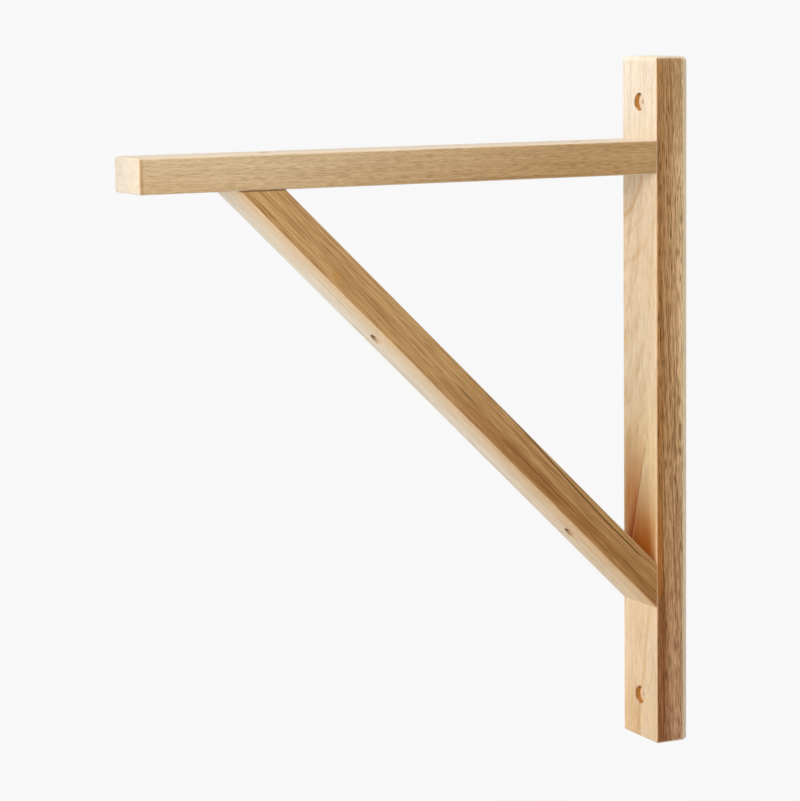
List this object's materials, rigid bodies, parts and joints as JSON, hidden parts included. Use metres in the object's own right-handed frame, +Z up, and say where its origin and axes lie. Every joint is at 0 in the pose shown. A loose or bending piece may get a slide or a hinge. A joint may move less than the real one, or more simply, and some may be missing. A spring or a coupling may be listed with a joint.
{
  "type": "shelf bracket",
  "caption": "Triangular wooden shelf bracket: an upright post screwed to the wall, an arm that carries the shelf, and a mitred diagonal brace between them.",
  "frame": {"origin": "on the wall face, midway across the bracket, level with the top of the arm that carries the shelf", "axes": "+Z up, +Y into the wall, so the arm reaches out along -Y, and +X across the bracket"},
  "size_m": [0.038, 0.332, 0.4],
  "materials": {
    "post_wood": "untreated sanded hardwood",
    "arm_wood": "untreated sanded hardwood",
    "brace_wood": "untreated sanded hardwood",
    "screw_steel": "zinc-plated"
  },
  "bodies": {
    "root": {"wall_post": "post_wood", "shelf_arm": "arm_wood", "diagonal_brace": "brace_wood", "arm_screws": "screw_steel", "brace_screws": "screw_steel"}
  },
  "joints": []
}
